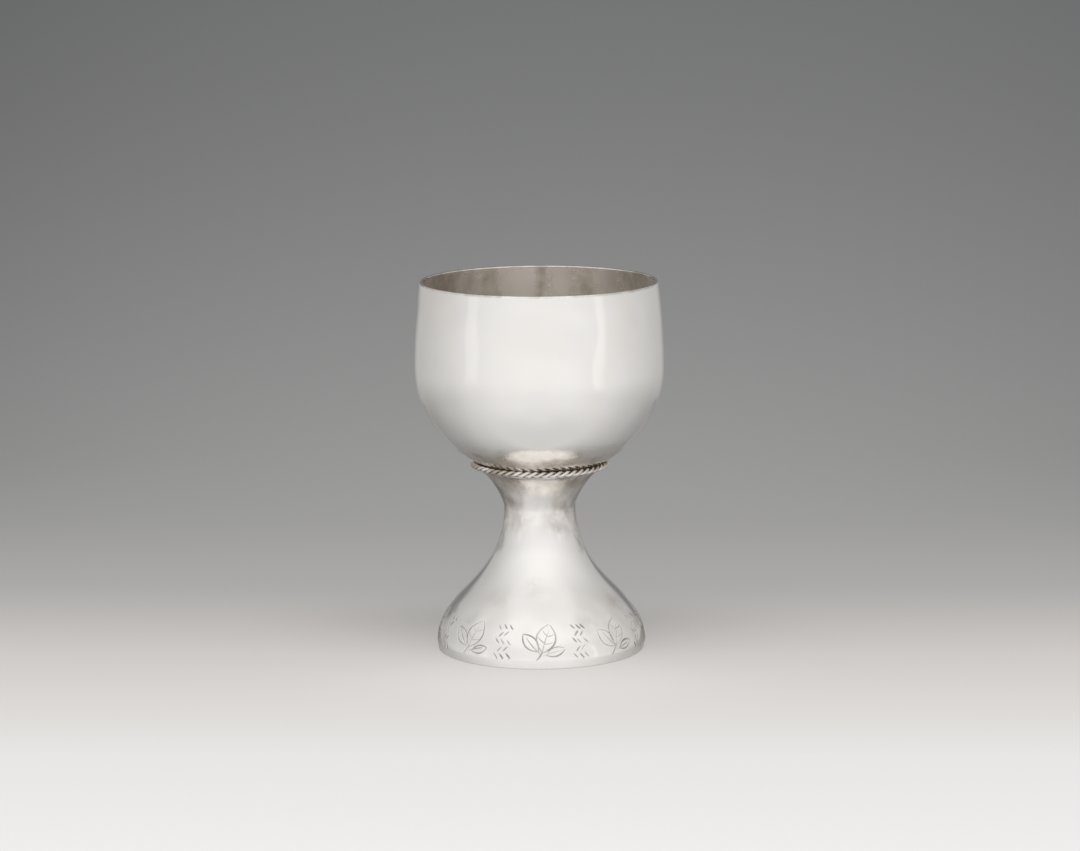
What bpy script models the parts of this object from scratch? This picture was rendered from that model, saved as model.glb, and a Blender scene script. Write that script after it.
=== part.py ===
"""A hand-raised silver wine goblet: a round bowl on a hollow flared foot.

The bowl and the foot are each raised from one disc of sheet silver. A collar of
two wires twisted together lies round the seam where they meet. The goblet stands
on Z = 0 with its axis along Z. All sizes are in metres.
"""
from math import cos, pi, radians, sin

import bpy
import numpy as np
from mathutils import Vector
from mathutils.geometry import interpolate_bezier

MM = 0.001

# Driving dimensions of the whole goblet
GOBLET_HEIGHT = 130.0 * MM
SHEET = 1.0 * MM
CLEARANCE = 0.3 * MM
ROUND_STEPS = 48

# The bowl: half an ellipse below its widest line, then a wall that leans in to the rim
RIM_RADIUS = 41.4 * MM
BELLY_RADIUS = 43.6 * MM
BELLY_HEIGHT = 99.5 * MM
BOWL_DEPTH = 38.5 * MM
WALL_LEAN_POWER = 1.65
LIP_CHAMFER = 0.3 * MM
WALL_ROWS = 4
BOWL_ROWS = 10

# The foot: a flange under the bowl, a narrow waist and a full base
FLANGE_RADIUS = 21.6 * MM
FLANGE_HEIGHT = 64.4 * MM
FLANGE_SLOPE = radians(24)
FLANGE_REACH = 4.6 * MM
WAIST_RADIUS = 12.45 * MM
WAIST_HEIGHT = 50.3 * MM
WAIST_PULL_UP = 2.6 * MM
WAIST_PULL_DOWN = 26.7 * MM
FOOT_RADIUS = 36.4 * MM
FOOT_BELLY_HEIGHT = 2.9 * MM
FOOT_PULL_UP = 17.1 * MM
BASE_RADIUS = 36.1 * MM
BASE_EDGE = 1.2 * MM
FLARE_ROWS = 5
SKIRT_ROWS = 9

# The collar: two wires laid together as one twisted cord round the seam
COLLAR_THICKNESS = 2.1 * MM
COLLAR_RADIUS = 23.4 * MM
COLLAR_LAYS = 26
STEPS_PER_LAY = 6

# Colour, roughness and metallic value of each piece
FINISHES = {
    "bowl": ((0.90, 0.89, 0.86), 0.22, 1.0),
    "foot": ((0.90, 0.89, 0.87), 0.24, 1.0),
    "collar_wire_1": ((0.82, 0.80, 0.77), 0.28, 1.0),
    "collar_wire_2": ((0.82, 0.80, 0.77), 0.28, 1.0),
}


def new_collection(name):
    """Return an empty collection that shows in the scene."""
    collection = bpy.data.collections.new(name)
    bpy.context.scene.collection.children.link(collection)
    return collection


def silver(name):
    """Return the metal of one piece, with its own colour and roughness."""
    colour, roughness, metallic = FINISHES[name]
    material = bpy.data.materials.new(name)
    material.use_nodes = True
    shader = material.node_tree.nodes["Principled BSDF"]
    shader.inputs["Base Color"].default_value = (*colour, 1.0)
    shader.inputs["Roughness"].default_value = roughness
    shader.inputs["Metallic"].default_value = metallic
    return material


def bowl_height_at(radius):
    """Return how high the underside of the bowl is at a distance from the axis."""
    return BELLY_HEIGHT - BOWL_DEPTH * (1 - (radius / BELLY_RADIUS) ** 2) ** 0.5


def bowl_outside():
    """Return the bowl's outer profile as rows of radius and height, from lip to axis."""
    points = []
    lip = (GOBLET_HEIGHT - LIP_CHAMFER - BELLY_HEIGHT) / (GOBLET_HEIGHT - BELLY_HEIGHT)
    for rise in np.linspace(lip, 0.0, WALL_ROWS + 1)[:-1]:
        radius = BELLY_RADIUS - (BELLY_RADIUS - RIM_RADIUS) * rise ** WALL_LEAN_POWER
        points.append((radius, BELLY_HEIGHT + rise * (GOBLET_HEIGHT - BELLY_HEIGHT)))
    for angle in np.linspace(0.0, pi / 2, BOWL_ROWS + 1):
        points.append((BELLY_RADIUS * cos(angle), BELLY_HEIGHT - BOWL_DEPTH * sin(angle)))
    return np.array(points)


def foot_outside():
    """Return the foot's outer profile, from the flange's edge down to the floor."""
    flange = Vector((FLANGE_RADIUS, FLANGE_HEIGHT))
    flange_pull = flange - FLANGE_REACH * Vector((cos(FLANGE_SLOPE), sin(FLANGE_SLOPE)))
    waist = Vector((WAIST_RADIUS, WAIST_HEIGHT))
    waist_up = waist + Vector((0.0, WAIST_PULL_UP))
    waist_down = waist - Vector((0.0, WAIST_PULL_DOWN))
    belly = Vector((FOOT_RADIUS, FOOT_BELLY_HEIGHT))
    belly_up = belly + Vector((0.0, FOOT_PULL_UP))
    flare = interpolate_bezier(flange, flange_pull, waist_up, waist, FLARE_ROWS + 1)
    skirt = interpolate_bezier(waist, waist_down, belly_up, belly, SKIRT_ROWS + 1)
    base = Vector((BASE_RADIUS, 0.0))
    return np.array([tuple(point) for point in (*flare, *skirt[1:], base)])


def inside_of(outside, thickness):
    """Return a profile offset from its outer side, towards the inside of the sheet."""
    along = np.gradient(outside, axis=0)
    along /= np.linalg.norm(along, axis=1)[:, None]
    inward = np.stack((along[:, 1], -along[:, 0]), axis=1)
    return outside + thickness * inward


def turned(name, profile, closed, collection):
    """Turn a profile about Z. It runs down the outer side, as Screw needs."""
    count = len(profile)
    edges = [(index, index + 1) for index in range(count - 1)]
    if closed:
        edges.append((count - 1, 0))
    mesh = bpy.data.meshes.new(name)
    mesh.from_pydata([(radius, 0.0, height) for radius, height in profile], edges, [])
    piece = bpy.data.objects.new(name, mesh)
    collection.objects.link(piece)
    screw = piece.modifiers.new("turn", "SCREW")
    screw.axis = "Z"
    screw.steps = ROUND_STEPS
    screw.render_steps = ROUND_STEPS
    screw.use_merge_vertices = True
    screw.merge_threshold = 0.01 * MM
    screw.use_smooth_shade = True
    mesh.materials.append(silver(name))
    return piece


def make_bowl(collection):
    """Raise the bowl: one sheet from the lip to the bottom, open above."""
    outside = bowl_outside()
    inside = inside_of(outside, SHEET)
    inside[-1] = (0.0, outside[-1][1] + SHEET)
    outside[-1][0] = 0.0
    lip_outer = (RIM_RADIUS - LIP_CHAMFER, GOBLET_HEIGHT)
    lip_inner = (RIM_RADIUS - SHEET + LIP_CHAMFER, GOBLET_HEIGHT)
    profile = [*inside[::-1], lip_inner, lip_outer, *outside]
    return turned("bowl", profile, False, collection)


def make_foot(collection):
    """Raise the foot: one trumpet of sheet, open below and under the bowl."""
    outside = foot_outside()
    inside = inside_of(outside, SHEET)
    inside[-1] = (BASE_RADIUS - BASE_EDGE, 0.0)
    return turned("foot", [*outside, *inside[::-1]], True, collection)


def wire_path(start_angle, wire_offset, collar_height):
    """Return one wire's centre line, winding round the middle of the collar."""
    points = []
    for step in range(COLLAR_LAYS * STEPS_PER_LAY):
        twist = start_angle + 2 * pi * step / STEPS_PER_LAY
        around = 2 * pi * step / (COLLAR_LAYS * STEPS_PER_LAY)
        radius = COLLAR_RADIUS + wire_offset * cos(twist)
        height = collar_height + wire_offset * sin(twist)
        points.append((radius * cos(around), radius * sin(around), height))
    return points


def make_collar(collection):
    """Lay the two wires round the seam, each a closed ring under the bowl's curve."""
    wire_radius = (COLLAR_THICKNESS - CLEARANCE) / 4
    wire_offset = COLLAR_THICKNESS / 2 - wire_radius
    slope = (bowl_height_at(COLLAR_RADIUS + MM) - bowl_height_at(COLLAR_RADIUS - MM)) / (2 * MM)
    drop = (COLLAR_THICKNESS / 2 + CLEARANCE) * (1 + slope ** 2) ** 0.5
    collar_height = bowl_height_at(COLLAR_RADIUS) - drop
    for number, start_angle in ((1, 0.0), (2, pi)):
        name = f"collar_wire_{number}"
        curve = bpy.data.curves.new(name, "CURVE")
        curve.dimensions = "3D"
        curve.bevel_depth = wire_radius
        curve.bevel_resolution = 1
        spline = curve.splines.new("POLY")
        path = wire_path(start_angle, wire_offset, collar_height)
        spline.points.add(len(path) - 1)
        for point, place in zip(spline.points, path):
            point.co = (*place, 1.0)
        spline.use_cyclic_u = True
        curve.materials.append(silver(name))
        collection.objects.link(bpy.data.objects.new(name, curve))


for old in list(bpy.data.objects):
    bpy.data.objects.remove(old, do_unlink=True)

goblet = new_collection("wine_goblet")
make_bowl(goblet)
make_foot(goblet)
make_collar(goblet)
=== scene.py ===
from math import cos, pi, radians, sin, tan

import bpy
import numpy as np
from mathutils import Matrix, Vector
from mathutils.geometry import interpolate_bezier


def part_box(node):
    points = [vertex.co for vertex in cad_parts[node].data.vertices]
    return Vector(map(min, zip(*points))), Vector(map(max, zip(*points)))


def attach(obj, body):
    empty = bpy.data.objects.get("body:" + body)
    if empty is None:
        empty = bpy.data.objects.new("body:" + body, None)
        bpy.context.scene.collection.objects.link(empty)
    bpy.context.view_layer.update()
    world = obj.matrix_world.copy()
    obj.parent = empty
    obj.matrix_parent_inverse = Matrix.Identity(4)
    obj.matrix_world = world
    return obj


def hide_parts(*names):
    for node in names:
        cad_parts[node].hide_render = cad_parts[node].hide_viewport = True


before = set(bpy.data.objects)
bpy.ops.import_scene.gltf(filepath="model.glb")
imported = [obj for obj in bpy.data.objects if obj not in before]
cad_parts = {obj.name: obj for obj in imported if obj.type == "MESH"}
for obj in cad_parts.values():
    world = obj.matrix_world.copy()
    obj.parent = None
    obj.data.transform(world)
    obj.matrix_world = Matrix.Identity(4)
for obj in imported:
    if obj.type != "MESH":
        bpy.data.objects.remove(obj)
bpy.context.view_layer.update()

# The bowl is one disc of sheet silver, raised with a hammer over stakes until it closes in to
# a round cup. The outside is planished and polished, and keeps the faint flats of the hammer.
# The inside is only cleaned, and has dulled to a brown grey in streaks with painted reflection in them,
# and so has the bottom by the seam, with painted shade in front and behind and painted light at the sides.
MM = 0.001
COLUMNS = 320
SHEET = 1.0 * MM
bowl_low, bowl_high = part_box("bowl")
goblet_height = bowl_high.z
belly_radius = bowl_high.x
BELLY_HEIGHT = 99.5 * MM
RIM_RADIUS = 41.4 * MM
WALL_LEAN_POWER = 1.65
LIP_OUTER = (0.4 * MM, 0.9 * MM)
LIP_INNER = (0.3 * MM, 0.35 * MM)
LIP_ROWS = 6
LIP_CLEAN = 1.0 * MM
LIP_DULL = 0.5
INSIDE_DULL = 0.18
INSIDE_DEEP = 0.12
STREAKS_FADE = (16.0 * MM, 36.0 * MM)
SATIN_ROUGHNESS = 0.12
SATIN_METALLIC = 0.88
# Each streak inside: degrees from the back, half its width in degrees, and tarnish. They are tarnish
# and painted reflection, cleaner near the back's middle and darker to the sides.
INSIDE_TARNISH_AND_PAINTED_REFLECTION = ((2, 3.0, 0.36), (23, 5, 0.42), (-8, 7, -0.26), (12, 5, -0.19), (-28, 8, 0.34),
                  (-56, 14, 0.66), (50, 12, 0.25))
LIP_TRUE = 6.0 * MM
WALL_ROWS = 44
BOWL_ROWS = 62
BOWL_HAMMER = ((700, 5.5 * MM, 0.07 * MM), (60, 12.0 * MM, 0.14 * MM))
SEAM_STAIN = (29.2 * MM, 32.4 * MM)
SEAM_MIRROR = (25.6 * MM, 27.6 * MM)
SEAM_TARNISH = (0.46, 0.20)
# The stain under the bowl is painted darker in front and behind and lighter at the sides: painted shade
# and painted light on the tarnish.
FRONT_PAINTED_SHADE = 1.12
SIDES_PAINTED_LIGHT = (0.45, 0.35, 0.8)
# Each smear under the bowl: degrees from the front, radius, size, tarnish and dirt.
BOWL_SMEARS = ((-22, 31.6, 2.2, 0.5, 0.25), (23, 31.5, 2.2, 0.5, 0.25))
SILVER = (0.955, 0.930, 0.900)
SILVER_WARM = (0.950, 0.918, 0.874)
# The tarnish and dirt colours also paint shade and reflection where the vertices carry it.
TARNISH_AND_SHADE = (0.680, 0.605, 0.530)
TARNISH_AND_SHADE_DARK = (0.510, 0.450, 0.390)
DIRT_AND_SHADE = (0.170, 0.148, 0.130)
# Each noise in the silver: how it is stretched along the axes, its scale and its detail.
CLOUD = ((1.0, 1.0, 0.7), 42.0)
BLOTCH = ((1.0, 1.0, 0.8), 260.0, 4.0)
STREAK = ((1.0, 1.0, 0.2), 95.0, 2.0)
FINE_SCRATCHES = ((1.0, 1.0, 6.0), 420.0)
TARNISH_CONTRAST = 13.0
DIRT_CONTRAST = 5.0
DIRT_ROUGHNESS = 0.15


def rounded(middle, radii, start, end, rows):
    """Return points of an arc, flattened to two radii, between two directions in degrees."""
    turns = np.radians(np.linspace(start, end, rows))
    return [(middle[0] + radii[0] * cos(turn), middle[1] + radii[1] * sin(turn)) for turn in turns]


def into_sheet(outside):
    """Return the directions from a profile's outer side into the sheet."""
    along = np.gradient(outside, axis=0)
    along /= np.linalg.norm(along, axis=1)[:, None]
    return np.stack((along[:, 1], -along[:, 0]), axis=1)


def turned(profile, angles):
    """Return the points of whole rings, row by row, from pairs of radius and height."""
    around, radius = np.meshgrid(angles, profile[:, 0])
    height = np.repeat(profile[:, 1:], len(angles), axis=1)
    return np.stack((radius * np.cos(around), radius * np.sin(around), height), axis=2).reshape(-1, 3)


def hammer_marks(profile, kinds, seed):
    """Return the middle, size and depth of marks spread evenly over a turned surface."""
    draw = np.random.default_rng(seed)
    strips = np.linalg.norm(np.diff(profile, axis=0), axis=1) * (profile[1:, 0] + profile[:-1, 0])
    area = np.concatenate(([0.0], np.cumsum(strips)))
    marks = []
    for count, size, depth in kinds:
        for _ in range(count):
            share, turn = draw.uniform(0.0, area[-1]), draw.uniform(-pi, pi)
            radius, height = (np.interp(share, area, profile[:, axis]) for axis in (0, 1))
            middle = (radius * cos(turn), radius * sin(turn), height)
            marks.append((middle, size * draw.uniform(0.7, 1.4), depth * draw.uniform(0.3, 1.0)))
    return marks


def hammered(points, marks):
    """Return how deep the marks lie at points, and how that depth grows along each axis."""
    depth = np.zeros(len(points))
    growth = np.zeros((len(points), 3))
    for middle, size, force in marks:
        near = np.flatnonzero(np.abs(points[:, 2] - middle[2]) < 2.6 * size)
        offset = points[near] - middle
        part = force * np.exp(-np.sum(offset ** 2, axis=1) / size ** 2)
        depth[near] += part
        growth[near] -= 2 * part[:, None] * offset / size ** 2
    return depth - np.average(depth, weights=np.hypot(points[:, 0], points[:, 1])), growth


def ring_faces(upper, lower):
    """Return the quads between two rings of vertex numbers, facing out."""
    return np.stack((upper, lower, np.roll(lower, -1), np.roll(upper, -1)), axis=1)


def solid_from(name, points, faces):
    """Return a smooth piece made of points and of arrays or lists of faces."""
    mesh = bpy.data.meshes.new(name)
    mesh.from_pydata(points.tolist(), [], [list(map(int, face)) for face in faces])
    mesh.validate()
    mesh.shade_smooth()
    piece = bpy.data.objects.new(name, mesh)
    bpy.context.scene.collection.objects.link(piece)
    return piece


def paint_by_vertex(piece, name, values):
    """Keep one value a vertex, for the material to read."""
    attribute = piece.data.attributes.new(name, "FLOAT", "POINT")
    attribute.data.foreach_set("value", np.asarray(values, np.float32))


def eased(values, start, end):
    """Return 0 at the start, 1 at the end and a smooth rise between, clamped."""
    share = np.clip((values - start) / (end - start), 0.0, 1.0)
    return share * share * (3 - 2 * share)


def node(tree, kind, inputs=(), **settings):
    """Add a shader node, and set its properties and its sockets' plain values."""
    made = tree.nodes.new(kind)
    for key, value in settings.items():
        setattr(made, key, value)
    for key, value in dict(inputs).items():
        made.inputs[key].default_value = value
    return made


def stretched_noise(tree, stretch, scale, detail=3.0, roughness=0.55):
    """Add noise in object space, drawn out along an axis, and return its value socket."""
    place = node(tree, "ShaderNodeTexCoord")
    mapping = node(tree, "ShaderNodeMapping", {"Scale": stretch})
    noise = node(tree, "ShaderNodeTexNoise", {"Scale": scale, "Detail": detail, "Roughness": roughness})
    tree.links.new(place.outputs["Object"], mapping.inputs["Vector"])
    tree.links.new(mapping.outputs["Vector"], noise.inputs["Vector"])
    return noise.outputs["Fac"]


def ranged(tree, value, low, high, to_low, to_high):
    """Map a socket's range to another, clamped and smooth, and return the new socket."""
    change = node(tree, "ShaderNodeMapRange", interpolation_type="SMOOTHSTEP")
    for key, number in (("From Min", low), ("From Max", high), ("To Min", to_low), ("To Max", to_high)):
        change.inputs[key].default_value = number
    tree.links.new(value, change.inputs["Value"])
    return change.outputs["Result"]


def colour_between(tree, factor, first, second):
    """Mix two colours, each a plain colour or a socket, by a socket, and return the result."""
    mix = node(tree, "ShaderNodeMix", data_type="RGBA")
    tree.links.new(factor, mix.inputs["Factor"])
    for socket, colour in ((mix.inputs[6], first), (mix.inputs[7], second)):
        if isinstance(colour, tuple):
            socket.default_value = (*colour, 1.0)
        else:
            tree.links.new(colour, socket)
    return mix.outputs[2]


def combined(tree, operation, first, second):
    """Combine two sockets, or a socket and a number, and return the result."""
    math = node(tree, "ShaderNodeMath", operation=operation)
    for socket, value in zip(math.inputs, (first, second)):
        if isinstance(value, float):
            socket.default_value = value
        else:
            tree.links.new(value, socket)
    return math.outputs[0]


def mottled(tree, share, noise, contrast):
    """Break a share up by noise where it is neither none nor full, and return the new socket."""
    rest = combined(tree, "SUBTRACT", 1.0, share)
    spread = combined(tree, "MULTIPLY", combined(tree, "MULTIPLY", share, rest), contrast)
    offset = combined(tree, "MULTIPLY", combined(tree, "SUBTRACT", noise, 0.5), spread)
    total = combined(tree, "ADD", share, offset)
    return combined(tree, "MAXIMUM", combined(tree, "MINIMUM", total, 1.0), 0.0)


def bowl_outside():
    """Return the outer profile from under the lip's rounding to the middle of the bottom."""
    lean = belly_radius - RIM_RADIUS
    rise_height = goblet_height - BELLY_HEIGHT
    points = []
    for rise in np.linspace(1 - LIP_OUTER[1] / rise_height, 0.0, WALL_ROWS + 1)[:-1]:
        points.append((belly_radius - lean * rise ** WALL_LEAN_POWER, BELLY_HEIGHT + rise * rise_height))
    depth = BELLY_HEIGHT - bowl_low.z
    for turn in np.linspace(0.0, pi / 2, BOWL_ROWS + 1):
        points.append((belly_radius * cos(turn), BELLY_HEIGHT - depth * sin(turn)))
    return np.array(points)


outside = bowl_outside()
inward = into_sheet(outside)
inside = outside + SHEET * inward
lip_inner_end = inside[0][1] + LIP_OUTER[1] - LIP_INNER[1]
inner_middle = (inside[0][0] + LIP_INNER[0], lip_inner_end)
outer_middle = (outside[0][0] - LIP_OUTER[0], outside[0][1])
lip = rounded(inner_middle, LIP_INNER, 180, 90, LIP_ROWS)
lip += rounded(outer_middle, LIP_OUTER, 90, 0, LIP_ROWS)[:-1]
profile = np.array([*inside[-2::-1], *lip, *outside[:-1]])
profile_inward = np.array([*inward[-2::-1], *[inward[0]] * len(lip), *inward[:-1]])
angles = np.linspace(0.0, 2 * pi, COLUMNS, endpoint=False)
poles = ((0.0, 0.0, outside[-1][1] + SHEET), (0.0, 0.0, outside[-1][1]))
points = np.vstack((turned(profile, angles), poles))
point_inward = np.vstack((turned(profile_inward, angles), (0.0, 0.0, 1.0), (0.0, 0.0, 1.0)))
sink, _ = hammered(points, hammer_marks(outside, BOWL_HAMMER, 11))
below_lip = goblet_height - points[:, 2]
points = points + (sink * np.clip(below_lip / LIP_TRUE, 0.1, 1.0))[:, None] * point_inward
numbers = np.arange(len(profile) * COLUMNS).reshape(-1, COLUMNS)
faces = [face for upper, lower in zip(numbers[:-1], numbers[1:]) for face in ring_faces(upper, lower)]
inner_pole, outer_pole = len(points) - 2, len(points) - 1
for column in range(COLUMNS):
    after = (column + 1) % COLUMNS
    faces.append((inner_pole, numbers[0][column], numbers[0][after]))
    faces.append((outer_pole, numbers[-1][after], numbers[-1][column]))
bowl = solid_from("silver_bowl_raised", points, faces)
inner_side = np.zeros(len(points), bool)
inner_side[:(len(inside) - 1) * COLUMNS] = True
inner_side[inner_pole] = True
from_axis = np.hypot(points[:, 0], points[:, 1])
under = points[:, 2] < BELLY_HEIGHT
lip_tarnish = LIP_DULL * (1 - eased(below_lip, 0.3 * LIP_CLEAN, LIP_CLEAN))
from_back = np.degrees(np.arctan2(points[:, 0], points[:, 1]))
tarnish_and_painted_reflection = np.zeros(len(points))
# Streaks of tarnish and painted reflection inside the bowl.
for degrees, half, extra in INSIDE_TARNISH_AND_PAINTED_REFLECTION:
    tarnish_and_painted_reflection += extra * np.exp(-((from_back - degrees) / half) ** 2)
deep = eased(below_lip, *STREAKS_FADE)
inner_tarnish = INSIDE_DULL + tarnish_and_painted_reflection * (1 - deep) + INSIDE_DEEP * deep
inner_tarnish = np.maximum(lip_tarnish, inner_tarnish * eased(below_lip, 0.0, LIP_CLEAN))
near_seam, round_mirror = SEAM_TARNISH
seam_stain_and_shade = (1 - eased(from_axis, *SEAM_STAIN)) * (near_seam + round_mirror * eased(from_axis, *SEAM_MIRROR))
# Painted shade in front and behind, and painted light at the sides, on the stain by the seam.
painted_side_light, start, end = SIDES_PAINTED_LIGHT
seam_stain_and_shade *= FRONT_PAINTED_SHADE - painted_side_light * eased(np.abs(points[:, 0]) / np.maximum(from_axis, MM), start, end)
outer_tarnish = np.maximum(lip_tarnish, seam_stain_and_shade * under)
outer_dirt = np.zeros(len(points))
for degrees, radius, size, extra, dirty in BOWL_SMEARS:
    middle = (radius * MM * sin(radians(degrees)), -radius * MM * cos(radians(degrees)))
    near = under * np.exp(-np.sum((points[:, :2] - middle) ** 2, axis=1) / (size * MM) ** 2)
    outer_tarnish += extra * near
    outer_dirt += dirty * near
paint_by_vertex(bowl, "tarnish_and_shade", np.where(inner_side, inner_tarnish, outer_tarnish))
paint_by_vertex(bowl, "dirt_and_shade", np.where(inner_side, 0.0, outer_dirt))
paint_by_vertex(bowl, "satin", np.where(inner_side, eased(below_lip, 0.0, LIP_CLEAN), 0.0))


def silver_surface(name, rough, dull_rough):
    """Make polished silver that is brown and dull, or dirty, where the vertices say so, and that carries
    painted shade and painted reflection in the same shares.
    """
    material = bpy.data.materials.new(name)
    material.use_nodes = True
    tree = material.node_tree
    shader = tree.nodes["Principled BSDF"]
    tarnish_and_shade = node(tree, "ShaderNodeAttribute", attribute_name="tarnish_and_shade").outputs["Fac"]
    dirt_and_shade = node(tree, "ShaderNodeAttribute", attribute_name="dirt_and_shade").outputs["Fac"]
    satin = node(tree, "ShaderNodeAttribute", attribute_name="satin").outputs["Fac"]
    tree.links.new(ranged(tree, satin, 0.0, 1.0, 1.0, SATIN_METALLIC), shader.inputs["Metallic"])
    cloud = stretched_noise(tree, *CLOUD)
    blotch = stretched_noise(tree, *BLOTCH)
    streak = stretched_noise(tree, *STREAK)
    clean = colour_between(tree, ranged(tree, cloud, 0.35, 0.68, 0.0, 1.0), SILVER, SILVER_WARM)
    patch = combined(tree, "ADD", streak, combined(tree, "MULTIPLY", blotch, 0.35))
    dull = colour_between(tree, ranged(tree, patch, 0.5, 0.85, 0.0, 1.0), TARNISH_AND_SHADE, TARNISH_AND_SHADE_DARK)
    grain = combined(tree, "ADD", combined(tree, "MULTIPLY", blotch, 0.5),
                     combined(tree, "MULTIPLY", streak, 0.5))
    dulled = mottled(tree, tarnish_and_shade, grain, TARNISH_CONTRAST)
    dirt_and_shade_share = mottled(tree, dirt_and_shade, blotch, DIRT_CONTRAST)
    metal = colour_between(tree, dulled, clean, dull)
    tree.links.new(colour_between(tree, dirt_and_shade_share, metal, DIRT_AND_SHADE), shader.inputs["Base Color"])
    fine = stretched_noise(tree, *FINE_SCRATCHES)
    roughness = combined(tree, "ADD", ranged(tree, fine, 0.3, 0.7, rough * 0.8, rough * 1.2),
                         combined(tree, "MULTIPLY", dulled, dull_rough - rough))
    roughness = combined(tree, "ADD", roughness, combined(tree, "MULTIPLY", satin, SATIN_ROUGHNESS))
    tree.links.new(combined(tree, "ADD", roughness, combined(tree, "MULTIPLY", dirt_and_shade_share, DIRT_ROUGHNESS)),
                   shader.inputs["Roughness"])
    bump = node(tree, "ShaderNodeBump", {"Strength": 0.06, "Distance": 0.02 * MM})
    tree.links.new(fine, bump.inputs["Height"])
    tree.links.new(bump.outputs["Normal"], shader.inputs["Normal"])
    return material


bowl.data.materials.append(silver_surface("polished_silver_bowl", 0.10, 0.30))
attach(bowl, "root")
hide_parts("bowl")

# The foot is a second disc of sheet, raised to a hollow trumpet with a flange that takes the
# bowl. It is planished too, more roughly than the bowl. Sprays of leaves and rows of short
# strokes are cut into its skirt with a graver, and grey dirt stays in the cuts and in smears.
foot_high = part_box("foot")[1]
FLANGE = (21.6 * MM, 64.4 * MM)
FLANGE_SLOPE = radians(24)
FLANGE_REACH = 4.6 * MM
WAIST = (12.45 * MM, 50.3 * MM)
WAIST_PULL_UP = 2.6 * MM
WAIST_PULL_DOWN = 26.7 * MM
FOOT_BELLY_HEIGHT = 2.9 * MM
FOOT_PULL_UP = 17.1 * MM
BASE_RADIUS = 36.1 * MM
BASE_EDGE = 1.2 * MM
BASE_ROUNDING = (0.35 * MM, 0.35 * MM)
BASE_ROWS = 5
BASE_TRUE = (0.4 * MM, 3.0 * MM)
FLARE_ROWS = 22
SKIRT_ROWS = 50
INNER_ROWS = 36
BAND_ROWS = 24
BAND_TOP = 17.6 * MM
BAND_SPLIT = 4
BAND_RADIUS = 34.5 * MM
MOTIFS = 8
# The rows of strokes: their number, the middle of the lowest and their spacing, in millimetres.
STROKE_ROWS = 5
ROWS_FROM = (13.5, 1.8)
STROKE_PITCH = 2.1
ROW_PITCH = 2.6
CUT_WIDTH = 0.46 * MM
CUT_DEPTH = 0.20 * MM
CUT_DIRT = 0.75
FOOT_HAMMER = ((420, 5.0 * MM, 0.07 * MM), (70, 10.0 * MM, 0.14 * MM))
BAND_HAMMER = ((520, 2.6 * MM, 0.08 * MM),)
# Each stain: the heights where it starts and is full, its share of tarnish in front, and the painted shade
# it adds at the sides.
WAIST_STAIN = (40.0 * MM, 49.0 * MM)
WAIST_TARNISH_AND_SIDE_SHADE = (0.12, 0.25)
FLARE_STAIN = (56.5 * MM, 61.5 * MM)
FLARE_TARNISH_AND_SIDE_SHADE = (0.08, 0.06)
PAINTED_SIDE_SHADE_RISE = (0.15, 0.6)
FLANGE_GRIME = (62.5 * MM, 64.4 * MM)
FLANGE_DIRT = 0.5
# Painted shade: the stem is darker at both sides, the left more than the right, given as tarnish and dirt,
# and the base is darker there, given as tarnish.
STEM_SHADED_SIDE = (0.82, 0.96)
STEM_FROM = (33.0 * MM, 38.0 * MM)
STEM_SHADE_TARNISH = (0.40, 0.30)
STEM_SHADE_DIRT = (0.26, 0.20)
BASE_SHADED_SIDE = (0.86, 0.985)
BASE_UP_TO = (10.0 * MM, 16.0 * MM)
BASE_SIDE_SHADE = 0.28
# Each smear: degrees from the front, height, size, share of tarnish and share of dirt.
SMEARS = ((-25, 61.9, 3.2, 0.12, 0.03), (-18, 60.4, 1.8, 0.2, 0.08), (41, 60.9, 2.6, 0.04, 0.0),
          (-46, 53.1, 2.2, 0.3, 0.42), (-62, 55.5, 3.4, 0.5, 0.10), (52, 51.4, 2.4, 0.3, 0.26),
          (20, 45.3, 2.2, 0.0, 0.14), (38, 43.2, 2.6, 0.05, 0.10), (-8, 25.6, 3.4, 0.0, 0.08),
          (-31, 21.4, 4.0, 0.08, 0.03), (63, 18.6, 4.0, 0.12, 0.05), (30, 14.2, 3.6, 0.1, 0.06),
          (-70, 14.4, 3.6, 0.2, 0.08), (-50, 12.2, 4.0, 0.12, 0.05), (74, 11.0, 3.6, 0.2, 0.08))
SMEARS_BEHIND = 16


def foot_outside():
    """Return the outer profile from the flange's edge down to the belly, close together."""
    flange = Vector(FLANGE)
    flange_pull = flange - FLANGE_REACH * Vector((cos(FLANGE_SLOPE), sin(FLANGE_SLOPE)))
    waist = Vector(WAIST)
    belly = Vector((foot_high.x, FOOT_BELLY_HEIGHT))
    flare = interpolate_bezier(flange, flange_pull, waist + Vector((0.0, WAIST_PULL_UP)), waist, 300)
    skirt = interpolate_bezier(waist, waist - Vector((0.0, WAIST_PULL_DOWN)),
                               belly + Vector((0.0, FOOT_PULL_UP)), belly, 600)
    return np.array([tuple(point) for point in (*flare, *skirt[1:])])


def stroke(start, end, bow=0.0, weight=1.0, points=14):
    """Return a graver's stroke, bowed to its left, as points with a share of the width."""
    start, end = np.array(start), np.array(end)
    along = end - start
    middle = (start + end) / 2 + bow * np.array((-along[1], along[0]))
    t = np.linspace(0.0, 1.0, points)[:, None]
    line = (1 - t) ** 2 * start + 2 * t * (1 - t) * middle + t ** 2 * end
    width = weight * (0.35 + 0.65 * np.sin(pi * (0.12 + 0.8 * t)) ** 0.7)
    return np.hstack((line * MM, width))


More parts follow.
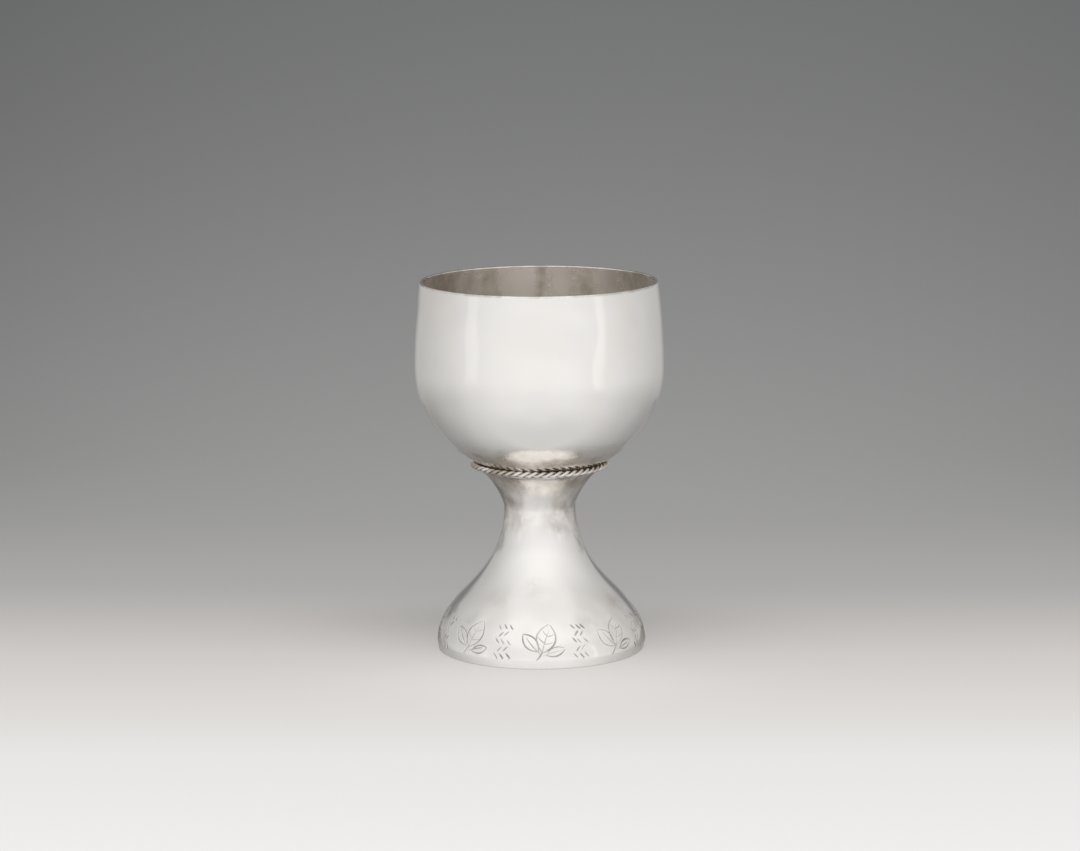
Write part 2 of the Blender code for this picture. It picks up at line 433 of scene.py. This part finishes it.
def leaf(stem, tip, fullness, veins):
    """Return the strokes of one leaf: two bowed sides, a midrib and pairs of veins."""
    stem, tip = np.array(stem), np.array(tip)
    along = tip - stem
    side = np.array((-along[1], along[0]))
    strokes = [stroke(stem, tip + 0.04 * side, fullness, 0.95), stroke(stem, tip, -fullness, 0.85)]
    strokes.append(stroke(stem - 0.1 * along, stem + 0.78 * along, 0.06, 0.7))
    for share in np.linspace(0.3, 0.58, veins):
        root = stem + share * along
        reach = fullness * (0.55 - 0.3 * share)
        strokes.append(stroke(root, root + 0.15 * along + reach * side, 0.1, 0.6, 6))
        strokes.append(stroke(root, root + 0.15 * along - reach * side, -0.1, 0.6, 6))
    return strokes


def motif_strokes():
    """Return one repeat of the band: a spray of three leaves, then rows of short strokes."""
    strokes = leaf((0.3, 3.2), (3.2, 13.3), 0.6, 2)
    strokes += leaf((-0.7, 3.4), (-6.3, 9.8), 0.5, 0)
    strokes += leaf((1.5, 2.3), (7.6, 4.2), 0.42, 0)
    strokes.append(stroke((-1.6, 0.4), (0.4, 3.8), -0.08, 0.95))
    for row in range(STROKE_ROWS):
        lean = 0.7 if row % 2 else -0.7
        count = 2 if row % 2 else 3
        for number in range(count):
            x = ROWS_FROM[0] + STROKE_PITCH * (number - (count - 1) / 2)
            y = ROWS_FROM[1] + ROW_PITCH * row
            strokes.append(stroke((x - lean, y - 0.8), (x + lean, y + 0.8), 0.05, 1.05, 6))
    return strokes


outside = foot_outside()
steps = np.linalg.norm(np.diff(outside, axis=0), axis=1)
way_down = np.concatenate(([0.0], np.cumsum(steps)))
inward = into_sheet(outside)
waist_way = way_down[np.argmax(outside[:, 1] <= WAIST[1])]
band_way = way_down[np.argmax(outside[:, 1] <= BAND_TOP)]
band_length = way_down[-1] - band_way
strokes = motif_strokes()
pitch = 2 * pi / MOTIFS
hand = np.random.default_rng(5)
hand_tilt = hand.uniform(-0.06, 0.06, MOTIFS)
hand_shift = hand.uniform(-0.35, 0.35, (MOTIFS, 2)) * MM
stroke_shift = hand.uniform(-0.28, 0.28, (MOTIFS, len(strokes), 2)) * MM
stroke_force = hand.uniform(0.70, 1.15, (MOTIFS, len(strokes)))
FIRST_MOTIF = pitch * 0.31


def foot_surface(angle, way):
    """Return points of the outer side before it is worked, and the way into the sheet there."""
    radius, height = (np.interp(way, way_down, outside[:, axis]) for axis in (0, 1))
    in_radius, in_height = (np.interp(way, way_down, inward[:, axis]) for axis in (0, 1))
    points = np.stack((radius * np.cos(angle), radius * np.sin(angle), height), axis=1)
    return points, np.stack((in_radius * np.cos(angle), in_radius * np.sin(angle), in_height), axis=1)


def cut_depth(angle, way):
    """Return how deep the engraving is at places of the band, as a share of its full depth."""
    turn = (angle + FIRST_MOTIF) % (2 * pi)
    motif = np.floor(turn / pitch).astype(int) % MOTIFS
    across = (turn - motif * pitch - FIRST_MOTIF) * BAND_RADIUS - hand_shift[motif, 0]
    up = way_down[-1] - way - hand_shift[motif, 1]
    tilt = hand_tilt[motif]
    x = across * np.cos(tilt) + up * np.sin(tilt)
    y = up * np.cos(tilt) - across * np.sin(tilt)
    depth = np.zeros(np.shape(x))
    for number, line in enumerate(strokes):
        near = (x > line[:, 0].min() - MM) & (x < line[:, 0].max() + MM)
        near &= (y > line[:, 1].min() - MM) & (y < line[:, 1].max() + MM)
        if not near.any():
            continue
        px = x[near] - stroke_shift[motif[near], number, 0]
        py = y[near] - stroke_shift[motif[near], number, 1]
        force = stroke_force[motif[near], number]
        best = np.zeros(px.shape)
        for first, second in zip(line[:-1], line[1:]):
            run = second[:2] - first[:2]
            share = np.clip(((px - first[0]) * run[0] + (py - first[1]) * run[1]) / (run @ run), 0.0, 1.0)
            width = first[2] + share * (second[2] - first[2])
            off = np.hypot(px - first[0] - share * run[0], py - first[1] - share * run[1])
            width *= force
            cut = np.clip(1.0 - off / (CUT_WIDTH * width), 0.0, 1.0)
            best = np.maximum(best, np.minimum(width, 1.0) * cut * cut * (3 - 2 * cut))
        depth[near] = np.maximum(depth[near], best)
    return depth


def refined_cells():
    """Return which cells of the band the engraving crosses."""
    middle_angles = (np.arange(COLUMNS) + 0.5) * 2 * pi / COLUMNS
    reached = np.zeros((BAND_ROWS, COLUMNS), bool)
    for row_share in np.linspace(0.0, 1.0, BAND_SPLIT + 1):
        for column_share in np.linspace(-0.5, 0.5, BAND_SPLIT + 1):
            angle = middle_angles + column_share * 2 * pi / COLUMNS
            way = band_way + (np.arange(BAND_ROWS) + row_share) * band_length / BAND_ROWS
            reached |= cut_depth(*np.meshgrid(angle, way)) > 0
    reached[0] = False
    reached[-1] = False
    return reached


refined = refined_cells()
fine_rows = BAND_ROWS * BAND_SPLIT + 1
fine_columns = COLUMNS * BAND_SPLIT
used = np.zeros((fine_rows, fine_columns + 1), bool)
used[::BAND_SPLIT, ::BAND_SPLIT] = True
for row, column in zip(*np.nonzero(refined)):
    top, left = row * BAND_SPLIT, column * BAND_SPLIT
    used[top:top + BAND_SPLIT + 1, left:left + BAND_SPLIT + 1] = True
used[:, 0] |= used[:, -1]
used = used[:, :-1]
above_ways = np.concatenate((np.linspace(0.0, waist_way, FLARE_ROWS + 1),
                             np.linspace(waist_way, band_way, SKIRT_ROWS + 1)[1:-1]))
above_count = len(above_ways) * COLUMNS
band_number = np.full(used.shape, -1)
band_number[used] = np.arange(used.sum()) + above_count
band_rows, band_columns = np.nonzero(used)
outer_angle = np.concatenate((np.tile(angles, len(above_ways)), band_columns * 2 * pi / fine_columns))
band_ways = band_way + band_rows * band_length / (fine_rows - 1)
outer_way = np.concatenate((np.repeat(above_ways, COLUMNS), band_ways))
outer_points, outer_inward = foot_surface(outer_angle, outer_way)
cut_share = cut_depth(outer_angle, outer_way)

inner_ways = np.linspace(way_down[-1] - band_length / BAND_ROWS, 0.0, INNER_ROWS)
inner_points, inner_inward = foot_surface(np.tile(angles, len(inner_ways)), np.repeat(inner_ways, COLUMNS))
inner_points = inner_points + SHEET * inner_inward
outer_corner = (BASE_RADIUS - BASE_ROUNDING[0], BASE_ROUNDING[1])
inner_corner = (BASE_RADIUS - BASE_EDGE + BASE_ROUNDING[0], BASE_ROUNDING[1])
base = rounded(outer_corner, BASE_ROUNDING, 0, -90, BASE_ROWS)
base += rounded(inner_corner, BASE_ROUNDING, 270, 180, BASE_ROWS)
base_points = turned(np.array(base), angles)

marks = hammer_marks(outside, FOOT_HAMMER, 23)
marks += hammer_marks(outside[outside[:, 1] < BAND_TOP], BAND_HAMMER, 29)
points = np.vstack((outer_points, base_points, inner_points))
point_inward = np.vstack((outer_inward, np.zeros(base_points.shape), inner_inward))
sink, growth = hammered(points, marks)
true_edge = eased(points[:, 2], *BASE_TRUE)
sink = sink * true_edge
sink[:len(outer_points)] += CUT_DEPTH * cut_share
points = points + sink[:, None] * point_inward

first_base = len(outer_points)
first_inner = first_base + len(base_points)
above_numbers = np.arange(above_count).reshape(-1, COLUMNS)
below_numbers = np.arange(first_base, len(points)).reshape(-1, COLUMNS)
rings = [*above_numbers, band_number[0, ::BAND_SPLIT]]
faces = [face for upper, lower in zip(rings[:-1], rings[1:]) for face in ring_faces(upper, lower)]
rings = [band_number[-1, ::BAND_SPLIT], *below_numbers, above_numbers[0]]
faces += [face for upper, lower in zip(rings[:-1], rings[1:]) for face in ring_faces(upper, lower)]


def edge_numbers(rows, columns):
    """Return the vertices that lie along one edge of a cell, its end left off."""
    found = band_number[rows, columns % fine_columns]
    return [number for number in found[:-1] if number >= 0]


step = np.arange(BAND_SPLIT + 1)
for row in range(BAND_ROWS):
    for column in range(COLUMNS):
        top, left = row * BAND_SPLIT, column * BAND_SPLIT
        if refined[row, column]:
            patch = band_number[np.ix_(top + step, (left + step) % fine_columns)]
            for a in range(BAND_SPLIT):
                for b in range(BAND_SPLIT):
                    faces.append((patch[a, b], patch[a + 1, b], patch[a + 1, b + 1], patch[a, b + 1]))
        else:
            bottom, right = top + BAND_SPLIT, left + BAND_SPLIT
            faces.append(edge_numbers(top + step, np.full(BAND_SPLIT + 1, left))
                         + edge_numbers(np.full(BAND_SPLIT + 1, bottom), left + step)
                         + edge_numbers(bottom - step, np.full(BAND_SPLIT + 1, right))
                         + edge_numbers(np.full(BAND_SPLIT + 1, top), right - step))
foot = solid_from("silver_foot_engraved", points, faces)

NUDGE = 0.04 * MM
turn_nudge = NUDGE / BAND_RADIUS
cut_down = cut_depth(outer_angle, outer_way + NUDGE) - cut_depth(outer_angle, outer_way - NUDGE)
cut_down /= 2 * NUDGE
cut_round = cut_depth(outer_angle + turn_nudge, outer_way) - cut_depth(outer_angle - turn_nudge, outer_way)
cut_round /= 2 * NUDGE
round_way = np.stack((-np.sin(outer_angle), np.cos(outer_angle), np.zeros(len(outer_angle))), axis=1)
down_way = np.cross(outer_inward, round_way)
normals = np.zeros(points.shape)
outer = slice(COLUMNS, first_base)
normals[outer] = (-outer_inward + (growth * true_edge[:, None])[:first_base]
                  + CUT_DEPTH * (cut_down[:, None] * down_way + cut_round[:, None] * round_way))[COLUMNS:]
normals[outer] /= np.linalg.norm(normals[outer], axis=1)[:, None]
last_ring = outer_way > way_down[-1] - 0.1 * MM
normals[:first_base][last_ring] = 0.0
foot.data.normals_split_custom_set_from_vertices(normals.tolist())


def smeared(points, places):
    """Return the share of tarnish and of dirt that the smears leave at points."""
    shares = np.zeros((2, len(points)))
    for degrees, height, size, tarnish_and_shade, dirt_and_shade in places:
        radius = np.interp(height * MM, outside[::-1, 1], outside[::-1, 0])
        middle = (radius * sin(radians(degrees)), -radius * cos(radians(degrees)), height * MM)
        near = np.exp(-np.sum((points - middle) ** 2, axis=1) / (size * MM) ** 2)
        shares += np.outer((tarnish_and_shade, dirt_and_shade), near)
    return shares


draw = np.random.default_rng(41)
behind = [(draw.uniform(85, 275), draw.uniform(12, 62), draw.uniform(1.8, 4.0), draw.uniform(0.0, 0.4),
           draw.uniform(0.1, 0.35)) for _ in range(SMEARS_BEHIND)]
smear_tarnish, smear_dirt = smeared(points, (*SMEARS, *behind))
front_turn = np.degrees(np.arctan2(points[:, 0], -points[:, 1]))
aside = np.abs(np.sin(np.radians(front_turn)))
painted_side_shade = eased(aside, *PAINTED_SIDE_SHADE_RISE)
height = points[:, 2]
tarnish_and_shade = smear_tarnish.copy()
# Tarnish on the flare and the waist, with painted shade added at their sides.
for heights, (in_front, painted_shade_aside) in ((FLARE_STAIN, FLARE_TARNISH_AND_SIDE_SHADE), (WAIST_STAIN, WAIST_TARNISH_AND_SIDE_SHADE)):
    tarnish_and_shade += eased(height, *heights) * (in_front + painted_shade_aside * painted_side_shade)
# Painted shade at the stem's sides and the base's sides, given as tarnish and dirt.
stem_shaded_side = eased(aside, *STEM_SHADED_SIDE) * eased(height, *STEM_FROM)
tarnish_and_shade += np.where(front_turn < 0, *STEM_SHADE_TARNISH) * stem_shaded_side
tarnish_and_shade += BASE_SIDE_SHADE * eased(aside, *BASE_SHADED_SIDE) * (1 - eased(height, *BASE_UP_TO))
dirt_and_shade = smear_dirt + FLANGE_DIRT * eased(height, *FLANGE_GRIME)
dirt_and_shade += np.where(front_turn < 0, *STEM_SHADE_DIRT) * stem_shaded_side
dirt_and_shade[:first_base] = np.maximum(dirt_and_shade[:first_base], CUT_DIRT * cut_share)
tarnish_and_shade[first_inner:] = 1.0
dirt_and_shade[first_base:] = 0.0
satin = np.zeros(len(points))
satin[first_inner:] = 1.0
paint_by_vertex(foot, "tarnish_and_shade", np.clip(tarnish_and_shade, 0.0, 1.0))
paint_by_vertex(foot, "dirt_and_shade", np.clip(dirt_and_shade, 0.0, 1.0))
paint_by_vertex(foot, "satin", satin)
foot.data.materials.append(silver_surface("polished_silver_foot", 0.10, 0.32))
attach(foot, "root")
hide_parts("foot")

# Silver solder fills the corner where the bowl rests on the foot's flange. It is a thin dull
# ring, and the collar hides all but its lower edge.
SEAM_PROFILE = np.array(((21.30, 64.45), (21.70, 64.36), (21.98, 64.62), (22.08, 65.20), (22.30, 66.20),
                         (21.30, 65.90), (20.95, 65.30))) * MM
seam_points = turned(SEAM_PROFILE[::-1], angles)
numbers = np.arange(len(seam_points)).reshape(-1, COLUMNS)
rings = zip(numbers, np.roll(numbers, -1, axis=0))
faces = [face for upper, lower in rings for face in ring_faces(upper, lower)]
seam = solid_from("solder_seam", seam_points, faces)
paint_by_vertex(seam, "tarnish_and_shade", np.ones(len(seam_points)))
paint_by_vertex(seam, "dirt_and_shade", np.full(len(seam_points), 0.6))
seam.data.materials.append(silver_surface("dull_silver_solder", 0.3, 0.45))
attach(seam, "root")

# The collar is two round wires twisted together, closed to a ring and soldered over the seam
# between the bowl and the foot. It is dirty in its grooves and darker still toward the bowl,
# painted brown at the sides as painted shade, and dull bright on the crowns in front.
collar_low, collar_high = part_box("collar_wire_1")
CORD_RADIUS = 1.05 * MM
COLLAR_LIFT = 0.2 * MM
WIRE_RADIUS = CORD_RADIUS / 2
COLLAR_LAYS = 26
STEPS_PER_LAY = 16
WIRE_SIDES = 14
GROOVE = (0.55, 0.85)
CORD_PAINTED_SIDE_SHADE = (0.55, 0.95)
# Shares of tarnish: everywhere, in the grooves, at the sides as painted shade, and at most by wear on one
# strand.
CORD_TARNISH = (0.15, 0.2, 0.3, 0.5)
# Shares of darkening in the grooves, given as dirt: everywhere, more toward the bowl, and how much less at
# the sides.
CORD_GROOVE_DARKENING = (0.08, 0.46, 0.35)
# Directions round the cord in degrees, up from outward, between which it faces the bowl.
FACES_BOWL = ((5, 50), (120, 160))
collar_radius = (collar_high.x - collar_low.x) / 2 - CORD_RADIUS
collar_height = (collar_low.z + collar_high.z) / 2 + COLLAR_LIFT


def twisted_wire(name, start):
    """Return one wire of the twist as a closed tube, with its dark places painted."""
    count = COLLAR_LAYS * STEPS_PER_LAY
    around = np.linspace(0.0, 2 * pi, count, endpoint=False)

    def centre(turn):
        twist = start + COLLAR_LAYS * turn
        radius = collar_radius + WIRE_RADIUS * np.cos(twist)
        return np.stack((radius * np.cos(turn), radius * np.sin(turn),
                         collar_height + WIRE_RADIUS * np.sin(twist)), axis=1)

    middle = centre(around)
    forward = centre(around + 0.001) - centre(around - 0.001)
    forward /= np.linalg.norm(forward, axis=1)[:, None]
    cord_middle = np.stack((collar_radius * np.cos(around), collar_radius * np.sin(around),
                            np.full(count, collar_height)), axis=1)
    outward = middle - cord_middle
    outward -= np.sum(outward * forward, axis=1)[:, None] * forward
    outward /= np.linalg.norm(outward, axis=1)[:, None]
    aside = np.cross(forward, outward)
    sides = np.linspace(0.0, 2 * pi, WIRE_SIDES, endpoint=False)
    points = middle[:, None] + WIRE_RADIUS * (np.cos(sides)[None, :, None] * outward[:, None]
                                              + np.sin(sides)[None, :, None] * aside[:, None])
    points = points.reshape(-1, 3)
    numbers = np.arange(count * WIRE_SIDES).reshape(count, WIRE_SIDES)
    faces = [face for row in range(count) for face in ring_faces(numbers[row], numbers[(row + 1) % count])]
    piece = solid_from(name, points, faces)
    out = np.hypot(points[:, 0], points[:, 1]) - collar_radius
    up = points[:, 2] - collar_height
    facing = np.degrees(np.arctan2(up, out))
    crown = eased(np.hypot(out, up) / CORD_RADIUS, *GROOVE)
    # Painted shade at the cord's sides, given as tarnish, where the grooves get less dirt.
    painted_side_shade = eased(np.abs(points[:, 0]) / collar_radius, *CORD_PAINTED_SIDE_SHADE)
    lay = np.repeat(np.arange(count) // STEPS_PER_LAY, WIRE_SIDES)
    everywhere, in_grooves, side_shade_tarnish, most_wear = CORD_TARNISH
    worn = np.random.default_rng(17).uniform(0.0, most_wear, COLLAR_LAYS)[lay]
    tarnish_and_shade = everywhere + in_grooves * (1.0 - crown) + worn + side_shade_tarnish * painted_side_shade
    paint_by_vertex(piece, "tarnish_and_shade", np.clip(tarnish_and_shade, 0.0, 1.0))
    # Darker in the grooves toward the bowl, given as dirt.
    toward_bowl = eased(facing, *FACES_BOWL[0]) * (1 - eased(facing, *FACES_BOWL[1]))
    everywhere, darker_toward_bowl, less_aside = CORD_GROOVE_DARKENING
    in_groove = (1.0 - crown) ** 2 * (1.0 - less_aside * painted_side_shade)
    paint_by_vertex(piece, "dirt_and_shade", (everywhere + darker_toward_bowl * toward_bowl) * in_groove)
    return piece


wire_material = silver_surface("silver_wire_dark_in_the_grooves", 0.18, 0.4)
for number, start in ((1, 0.0), (2, pi)):
    wire = twisted_wire(f"twisted_wire_{number}", start)
    wire.data.materials.append(wire_material)
    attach(wire, "root")
    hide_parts(f"collar_wire_{number}")

# The goblet stands on a long sheet of graduated studio paper, pale at the front and grey at
# the back, that partly glows as painted light. The paper isn't part of the goblet.
PAPER_REACH = 9.0
PAPER_FRONT = -0.30
PAPER_HALF_WAY = 0.35
# Each stop: share of the way back, shade, and how much warmer than grey it is.
PAPER_SHADES = ((0.0, 0.895, 0.01), (0.3, 0.795, 0.02), (0.45, 0.60, 0.045), (0.53, 0.41, 0.025),
                (0.6, 0.345, 0.01), (1.0, 0.165, -0.02))
# The share of the paper's shade that it gives off as its own glow, painted light; the rest is lit.
PAPER_PAINTED_GLOW = 0.6
# How much painted shade darkens the paper's sides.
SIDE_DARKER = 0.14
PAPER_TURN = radians(-1.6)
# The sides are painted darker, as painted shade, outside a fan that opens from in front: its start, width
# and limits.
SIDE_FAN_FROM = 1.29
SIDE_FAN_LEAST = 0.5
SIDE_SPREAD = 0.1443
SIDE_MOST = 2.0
SIDE_START = (0.05, 0.42)
# Painted light and shadow: a pool of light that the silver throws on the paper in front of the goblet,
# and the goblet's soft shadow behind it. Each patch: middle, spread to the side, spread to the back,
# and how much it lightens the paper.
PAINTED_LIGHT_AND_SHADOW = (((0.0, -0.045), 0.060, 0.036, 0.16), ((-0.006, 0.040), 0.062, 0.030, -0.20))
# The silver mirrors two patches of paper behind the goblet: copies seen only in reflections,
# whose glow is painted darker as painted shade, and darker again to the sides; farther off it
# mirrors the tent's light. Each patch: how far back its middle is, its reach sideways and back, and
# its shade in the middle and at the sides.
PAINTED_REFLECTIONS = ((0.085, 0.083, 0.110, 0.80, 0.44), (0.240, 0.165, 0.120, 0.85, 0.85))
MIRRORED_SIDE_SHADE = (0.030, 0.044)
MIRRORED_EDGE = (0.86, 1.14)
MIRRORED_GAP = 0.03 * MM
mesh = bpy.data.meshes.new("studio_paper")
mesh.from_pydata([(-PAPER_REACH, -PAPER_REACH, 0.0), (PAPER_REACH, -PAPER_REACH, 0.0),
                  (PAPER_REACH, PAPER_REACH, 0.0), (-PAPER_REACH, PAPER_REACH, 0.0)], [], [(0, 1, 2, 3)])
paper = bpy.data.objects.new("studio_paper", mesh)
bpy.context.scene.collection.objects.link(paper)
paper.visible_glossy = False
paper.rotation_euler.z = PAPER_TURN
paper_material = bpy.data.materials.new("graduated_paper")
paper_material.use_nodes = True
tree = paper_material.node_tree
tree.nodes.remove(tree.nodes["Principled BSDF"])
place = node(tree, "ShaderNodeTexCoord")
parts = node(tree, "ShaderNodeSeparateXYZ")
tree.links.new(place.outputs["Object"], parts.inputs[0])
back = combined(tree, "MAXIMUM", combined(tree, "SUBTRACT", parts.outputs["Y"], PAPER_FRONT), 0.0)
share = combined(tree, "DIVIDE", back, combined(tree, "ADD", back, PAPER_HALF_WAY))
ramp = node(tree, "ShaderNodeValToRGB")
tree.links.new(share, ramp.inputs[0])
ramp.color_ramp.elements.remove(ramp.color_ramp.elements[1])
for number, (position, shade, warmth) in enumerate(PAPER_SHADES):
    stop = ramp.color_ramp.elements[0] if number == 0 else ramp.color_ramp.elements.new(position)
    stop.position = position
    stop.color = (shade * (1 + warmth), shade, shade * (1 - 0.8 * warmth), 1.0)


def off_squared(value, middle, reach):
    """Return the square of how far a socket's value is off a middle, as a share of a reach."""
    off = combined(tree, "DIVIDE", combined(tree, "SUBTRACT", value, middle), reach)
    return combined(tree, "MULTIPLY", off, off)


# Painted shade toward the paper's sides.
far = combined(tree, "MAXIMUM", combined(tree, "ADD", parts.outputs["Y"], SIDE_FAN_FROM), SIDE_FAN_LEAST)
aside = off_squared(parts.outputs["X"], 0.0, combined(tree, "MULTIPLY", far, SIDE_SPREAD))
aside = combined(tree, "MINIMUM", aside, SIDE_MOST)
paper_side_shade = ranged(tree, parts.outputs["Y"], *SIDE_START, 0.0, SIDE_DARKER)
painted_light_and_shade = combined(tree, "SUBTRACT", 1.0, combined(tree, "MULTIPLY", aside, paper_side_shade))
# A painted pool of light in front of the goblet and a painted shadow behind it.
for middle, wide, deep, lighter in PAINTED_LIGHT_AND_SHADOW:
    off = combined(tree, "ADD", off_squared(parts.outputs["X"], middle[0], wide),
                   off_squared(parts.outputs["Y"], middle[1], deep))
    spot = combined(tree, "EXPONENT", combined(tree, "MULTIPLY", off, -1.0), 0.0)
    painted_light_and_shade = combined(tree, "ADD", painted_light_and_shade, combined(tree, "MULTIPLY", spot, lighter))
shaded = node(tree, "ShaderNodeVectorMath", operation="SCALE")
tree.links.new(ramp.outputs["Color"], shaded.inputs[0])
tree.links.new(painted_light_and_shade, shaded.inputs["Scale"])
# The paper's own glow: painted light.
painted_glow = node(tree, "ShaderNodeEmission", {"Strength": 1.0})
matt = node(tree, "ShaderNodeBsdfDiffuse", {"Roughness": 0.0})
both = node(tree, "ShaderNodeMixShader", {"Fac": PAPER_PAINTED_GLOW})
tree.links.new(shaded.outputs["Vector"], painted_glow.inputs["Color"])
tree.links.new(shaded.outputs["Vector"], matt.inputs["Color"])
tree.links.new(matt.outputs[0], both.inputs[1])
tree.links.new(painted_glow.outputs[0], both.inputs[2])
tree.links.new(both.outputs[0], tree.nodes["Material Output"].inputs["Surface"])
mesh.materials.append(paper_material)

# Copies of the paper seen only in the silver: painted reflections, their glow painted darker as shade.
for number, (far_back, wide, deep, shade, side_shade) in enumerate(PAINTED_REFLECTIONS):
    material = paper_material.copy()
    tree = material.node_tree
    place = node(tree, "ShaderNodeTexCoord")
    parts = node(tree, "ShaderNodeSeparateXYZ")
    tree.links.new(place.outputs["Object"], parts.inputs[0])
    aside = combined(tree, "ABSOLUTE", parts.outputs["X"], 0.0)
    tree.links.new(ranged(tree, aside, *MIRRORED_SIDE_SHADE, shade, side_shade),
                   tree.nodes["Emission"].inputs["Strength"])
    scaled = node(tree, "ShaderNodeVectorMath", {1: (1 / wide, 1 / deep, 0.0)}, operation="MULTIPLY")
    off_middle = node(tree, "ShaderNodeVectorMath", {1: (0.0, far_back / deep, 0.0)}, operation="DISTANCE")
    tree.links.new(place.outputs["Object"], scaled.inputs[0])
    tree.links.new(scaled.outputs[0], off_middle.inputs[0])
    cut = node(tree, "ShaderNodeMixShader")
    clear = node(tree, "ShaderNodeBsdfTransparent")
    output = tree.nodes["Material Output"].inputs["Surface"]
    solid = output.links[0].from_socket
    tree.links.new(ranged(tree, off_middle.outputs["Value"], *MIRRORED_EDGE, 0.0, 1.0), cut.inputs["Fac"])
    tree.links.new(solid, cut.inputs[1])
    tree.links.new(clear.outputs[0], cut.inputs[2])
    tree.links.new(cut.outputs[0], output)
    mesh = bpy.data.meshes.new("paper_painted_reflection")
    height = (len(PAINTED_REFLECTIONS) - number) * MIRRORED_GAP
    corners = ((-1, -1), (1, -1), (1, 1), (-1, 1))
    mesh.from_pydata([(x * MIRRORED_EDGE[1] * wide, far_back + y * MIRRORED_EDGE[1] * deep, height)
                      for x, y in corners], [], [(0, 1, 2, 3)])
    mesh.materials.append(material)
    patch = bpy.data.objects.new(f"paper_painted_reflection_{number + 1}", mesh)
    bpy.context.scene.collection.objects.link(patch)
    patch.rotation_euler.z = PAPER_TURN
    patch.visible_camera = False
    patch.visible_diffuse = False
    patch.visible_shadow = False

# Light comes from a white tent round the front and overhead, with a brighter strip on each
# side, open grey behind and pale table below, and from a broad soft box that lights the paper.
# Its brightest direction is a little to the right of the front, in degrees.
TENT_TURN = 2.0
# Each band, from below to above: its light in front and behind, the degrees off the brightest
# direction between which it falls off, and the edges of the opening behind and the share of
# light left there.
TENT_BANDS = (((0.66, 0.33), (60, 160), (150, 170, 1.0)),
              ((0.84, 0.26), (15, 182), (150, 170, 1.0)),
              ((0.93, 0.50), (10, 163), (150, 170, 0.65)),
              ((0.89, 0.44), (10, 175), (144, 156, 0.46)),
              ((0.99, 0.40), (10, 185), (150, 170, 1.0)))
# Where each band above the lowest blends in, from -1 straight below to 1 straight above.
TENT_LEVELS = ((-0.95, -0.45), (-0.45, -0.10), (-0.06, 0.06), (0.26, 0.62))
TENT_TOP = (0.87, 0.87, 0.87)
TENT_TOP_FROM = (0.80, 0.97)
# Each bright strip: degrees from the front, half its width in degrees, and how much it adds.
STRIPS = ((-65.0, 6.0, 0.09), (58.5, 4.5, 0.12))
STRIP_SOFTNESS = 2.0
STRIP_FOOT = (-0.30, -0.08)
STRIP_HEAD = (0.14, 0.32)
world = bpy.data.worlds.new("white_tent")
bpy.context.scene.world = world
world.use_nodes = True
tree = world.node_tree
background = tree.nodes["Background"]
direction = node(tree, "ShaderNodeTexCoord").outputs["Generated"]
parts = node(tree, "ShaderNodeSeparateXYZ")
tree.links.new(direction, parts.inputs[0])
toward_camera = combined(tree, "MULTIPLY", parts.outputs["Y"], -1.0)
azimuth = combined(tree, "ARCTAN2", parts.outputs["X"], toward_camera)
bearing = combined(tree, "MULTIPLY", azimuth, 180 / pi)
off_front = combined(tree, "ABSOLUTE", bearing, 0.0)
off_brightest = combined(tree, "ABSOLUTE", combined(tree, "SUBTRACT", bearing, TENT_TURN), 0.0)


def tent_light(lights, fall, opening):
    """Return one band of the tent's light: its fall from front to back, and the open back."""
    front, behind = lights
    start, end, left = opening
    light = ranged(tree, off_brightest, *fall, front, behind)
    return combined(tree, "MULTIPLY", light, ranged(tree, off_front, start, end, 1.0, left))


up = parts.outputs["Z"]
level = tent_light(*TENT_BANDS[0])
for (low, high), band in zip(TENT_LEVELS, TENT_BANDS[1:]):
    level = colour_between(tree, ranged(tree, up, low, high, 0.0, 1.0), level, tent_light(*band))
tree.links.new(colour_between(tree, ranged(tree, up, *TENT_TOP_FROM, 0.0, 1.0), level, TENT_TOP),
               background.inputs["Color"])
above_table = combined(tree, "MULTIPLY", ranged(tree, up, *STRIP_FOOT, 0.0, 1.0),
                       ranged(tree, up, *STRIP_HEAD, 1.0, 0.0))
strength = 1.0
for middle, half, extra in STRIPS:
    off = combined(tree, "ABSOLUTE", combined(tree, "SUBTRACT", bearing, middle), 0.0)
    strip = ranged(tree, off, half - STRIP_SOFTNESS, half + STRIP_SOFTNESS, extra, 0.0)
    strength = combined(tree, "ADD", combined(tree, "MULTIPLY", strip, above_table), strength)
tree.links.new(strength, background.inputs["Strength"])

SOFT_BOX_HEIGHT = 1.6
SOFT_BOX_SIZE = 1.6
SOFT_BOX_POWER = 9.0
light = bpy.data.lights.new("soft_box_overhead", "AREA")
light.shape = "SQUARE"
light.size = SOFT_BOX_SIZE
light.energy = SOFT_BOX_POWER
soft_box = bpy.data.objects.new("soft_box_overhead", light)
soft_box.location = (0.0, -0.1, SOFT_BOX_HEIGHT)
soft_box.visible_glossy = False
bpy.context.scene.collection.objects.link(soft_box)

# The camera looks slightly down on the goblet, as the photograph does. It leans by a third of a
# degree, because the goblet in the photograph does.
CAMERA_PLACE = (0.0001, -1.2885, 0.3019)
CAMERA_PITCH = radians(9.82)
CAMERA_ROLL = 0.0063
CAMERA_LENS = 124.69
CAMERA_SENSOR = 36.0
camera_data = bpy.data.cameras.new("camera")
camera_data.sensor_width = CAMERA_SENSOR
camera_data.sensor_fit = "HORIZONTAL"
camera_data.lens = CAMERA_LENS
camera = bpy.data.objects.new("camera", camera_data)
camera.location = CAMERA_PLACE
camera.rotation_euler = (pi / 2 - CAMERA_PITCH, CAMERA_ROLL, -CAMERA_ROLL * tan(CAMERA_PITCH))
bpy.context.scene.collection.objects.link(camera)
bpy.context.scene.camera = camera
bpy.context.scene.view_settings.view_transform = "Standard"
